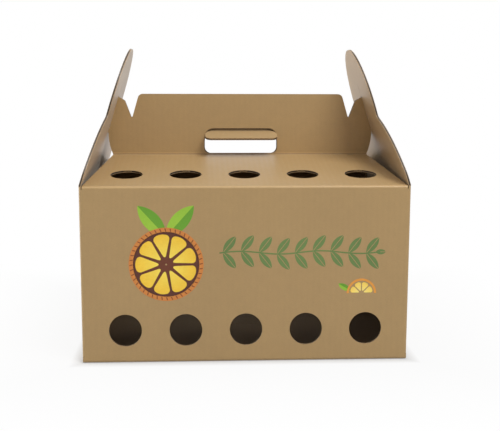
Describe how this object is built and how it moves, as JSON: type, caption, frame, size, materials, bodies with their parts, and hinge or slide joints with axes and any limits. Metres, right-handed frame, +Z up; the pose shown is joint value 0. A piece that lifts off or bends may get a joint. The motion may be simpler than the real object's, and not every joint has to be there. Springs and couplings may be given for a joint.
{
  "type": "fruit carry carton",
  "caption": "Corrugated kraft carton for fruit with vent holes, a sloping lid, a folded carry handle, hinged end flaps over its ears and a hand-hole tab.",
  "frame": {"origin": "centre of the bottom, on the surface the box stands on", "axes": "+X along the box's length, -Y out of the printed front wall, +Z up"},
  "size_m": [0.35, 0.285, 0.336],
  "materials": {
    "kraft_board": "matte brown kraft liner"
  },
  "bodies": {
    "carton": {"carton_body": "kraft_board"},
    "left_flap": {"left_end_flap": "kraft_board"},
    "right_flap": {"right_end_flap": "kraft_board"},
    "tab": {"hand_hole_tab": "kraft_board"}
  },
  "joints": [
    {"name": "left_flap_fold", "type": "hinge", "parent": "carton", "child": "left_flap", "pos_m": [-0.175, 0, 0.19], "axis": [0, -1, 0], "range_deg": [0, 194]},
    {"name": "right_flap_fold", "type": "hinge", "parent": "carton", "child": "right_flap", "pos_m": [0.175, 0, 0.19], "axis": [0, 1, 0], "range_deg": [0, 194]},
    {"name": "tab_fold", "type": "hinge", "parent": "carton", "child": "tab", "pos_m": [0, 0.00025, 0.24065], "axis": [-1, 0, 0], "range_deg": [-72.5, 13]}
  ]
}
